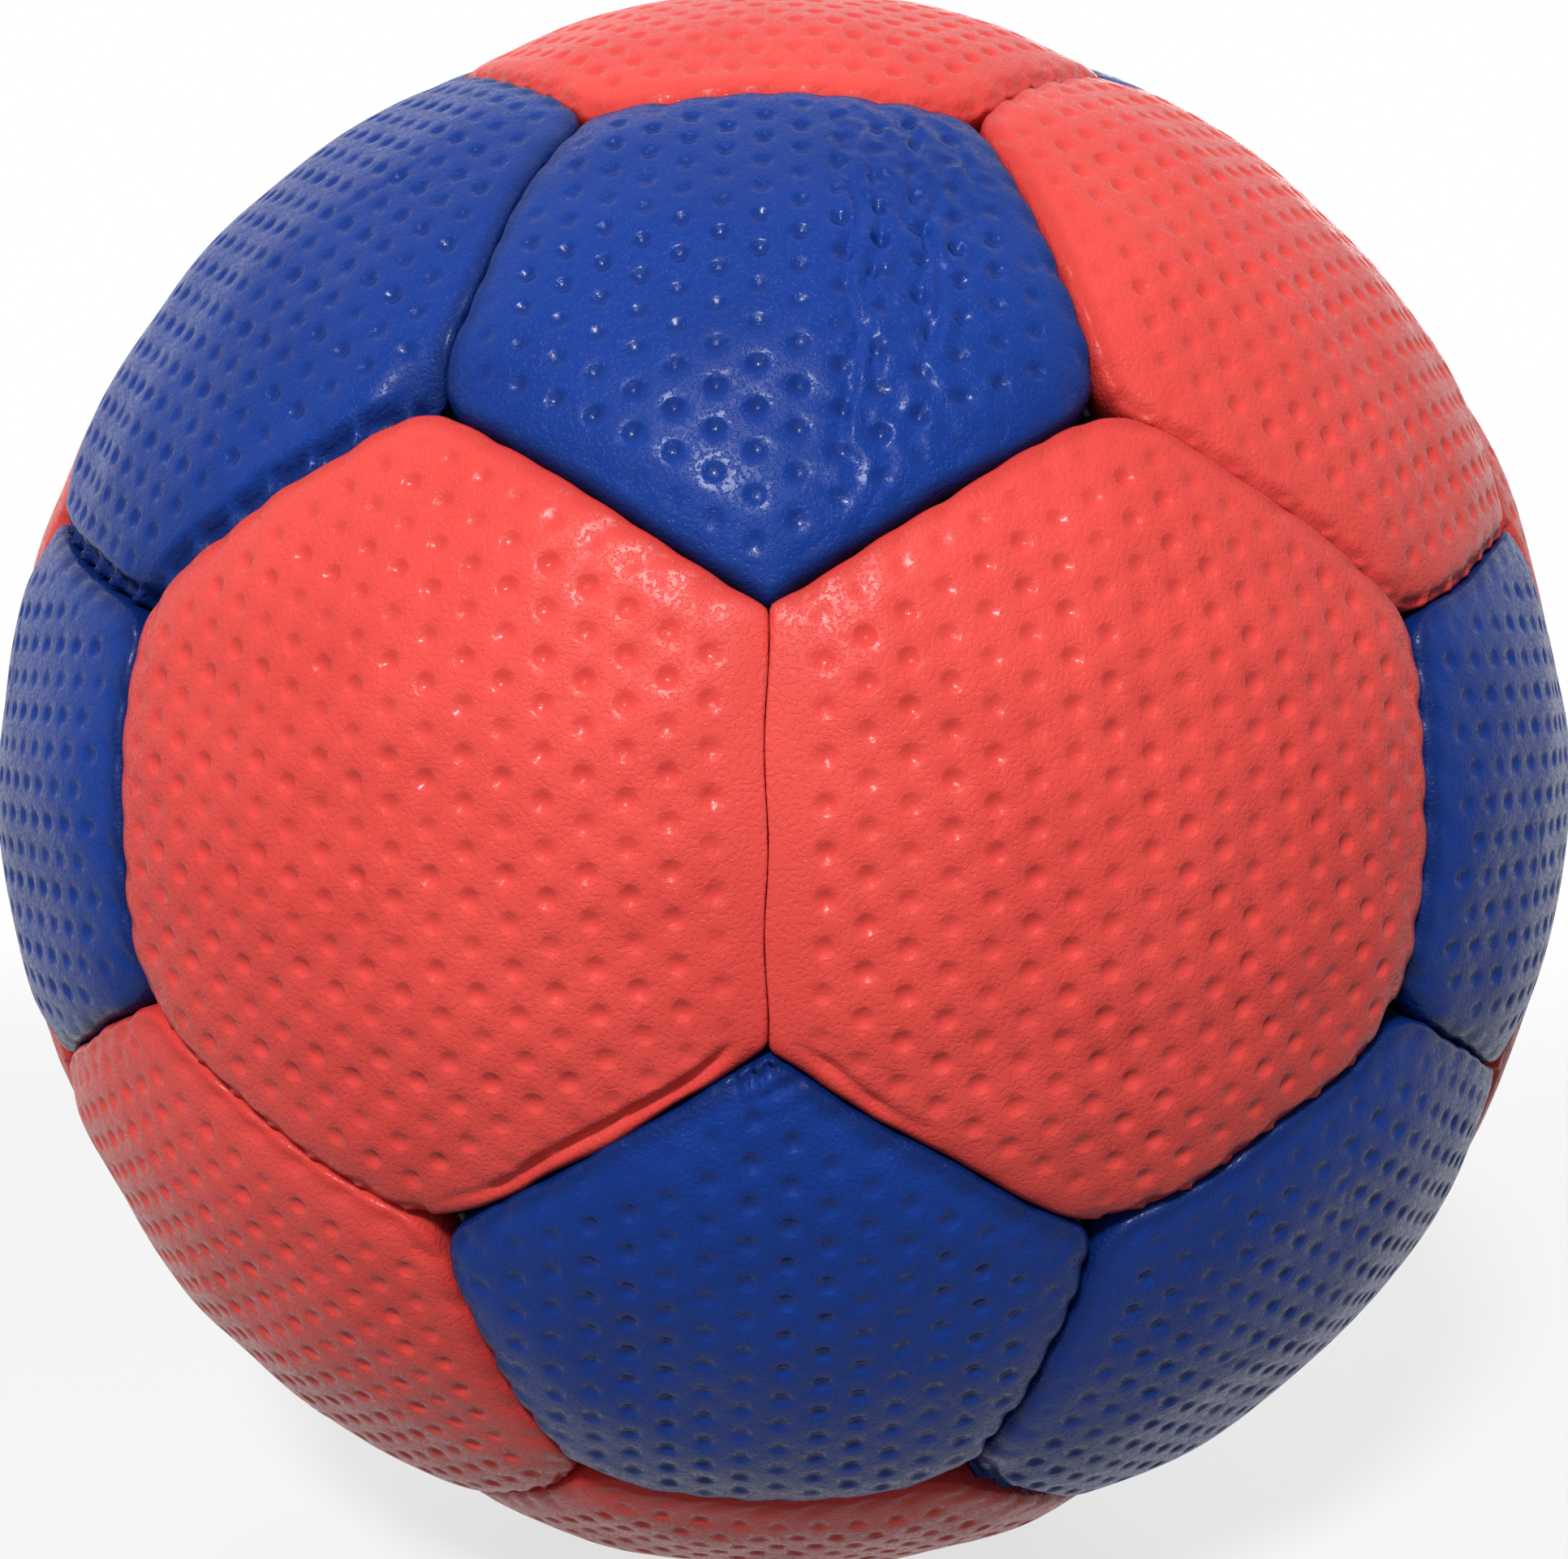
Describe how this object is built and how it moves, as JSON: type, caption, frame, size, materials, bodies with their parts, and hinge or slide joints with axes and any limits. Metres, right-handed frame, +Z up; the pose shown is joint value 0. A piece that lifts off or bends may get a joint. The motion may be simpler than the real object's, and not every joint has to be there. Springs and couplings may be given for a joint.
{
  "type": "handball",
  "caption": "Hand-stitched handball with padded five-sided and six-sided panels in red and blue over an inflated rubber bladder, with a needle valve.",
  "frame": {"origin": "centre of the ball", "axes": "+Z up; -Y faces the seam between two red six-sided panels that the picture looks at; +X is the picture's right; the valve is at the back, 20.9 degrees from +Y towards +X"},
  "size_m": [0.1744, 0.1744, 0.1744],
  "materials": {
    "blue_cover": "semi-matte dimpled synthetic leather",
    "red_cover": "semi-matte dimpled synthetic leather",
    "backing_cloth": "woven laminate",
    "waxed_thread": "waxed",
    "bladder_rubber": "matte butyl",
    "valve_rubber": "matte",
    "valve_core_rubber": "matte"
  },
  "bodies": {
    "root": {"blue_pentagon_panel_01": "blue_cover", "blue_pentagon_panel_02": "blue_cover", "blue_pentagon_panel_03": "blue_cover", "blue_pentagon_panel_04": "blue_cover", "blue_pentagon_panel_05": "blue_cover", "blue_pentagon_panel_06": "blue_cover", "blue_pentagon_panel_07": "blue_cover", "blue_pentagon_panel_08": "blue_cover", "blue_pentagon_panel_09": "blue_cover", "blue_pentagon_panel_10": "blue_cover", "blue_pentagon_panel_11": "blue_cover", "blue_pentagon_panel_12": "blue_cover", "blue_hexagon_panel_01": "blue_cover", "blue_hexagon_panel_02": "blue_cover", "blue_hexagon_panel_03": "blue_cover", "blue_hexagon_panel_04": "blue_cover", "red_hexagon_panel_01": "red_cover", "red_hexagon_panel_02": "red_cover", "red_hexagon_panel_03": "red_cover", "red_hexagon_panel_04": "red_cover", "red_hexagon_panel_05": "red_cover", "red_hexagon_panel_06": "red_cover", "red_hexagon_panel_07": "red_cover", "red_hexagon_panel_08": "red_cover", "red_hexagon_panel_09": "red_cover", "red_hexagon_panel_10": "red_cover", "red_hexagon_panel_11": "red_cover", "red_hexagon_panel_12": "red_cover", "red_hexagon_panel_13": "red_cover", "red_hexagon_panel_14": "red_cover", "red_hexagon_panel_15": "red_cover", "red_hexagon_panel_16": "red_cover", "pentagon_backings": "backing_cloth", "hexagon_backings": "backing_cloth", "seam_thread": "waxed_thread", "bladder": "bladder_rubber", "valve_patch": "bladder_rubber", "valve_housing": "valve_rubber", "valve_core": "valve_core_rubber"}
  },
  "joints": []
}
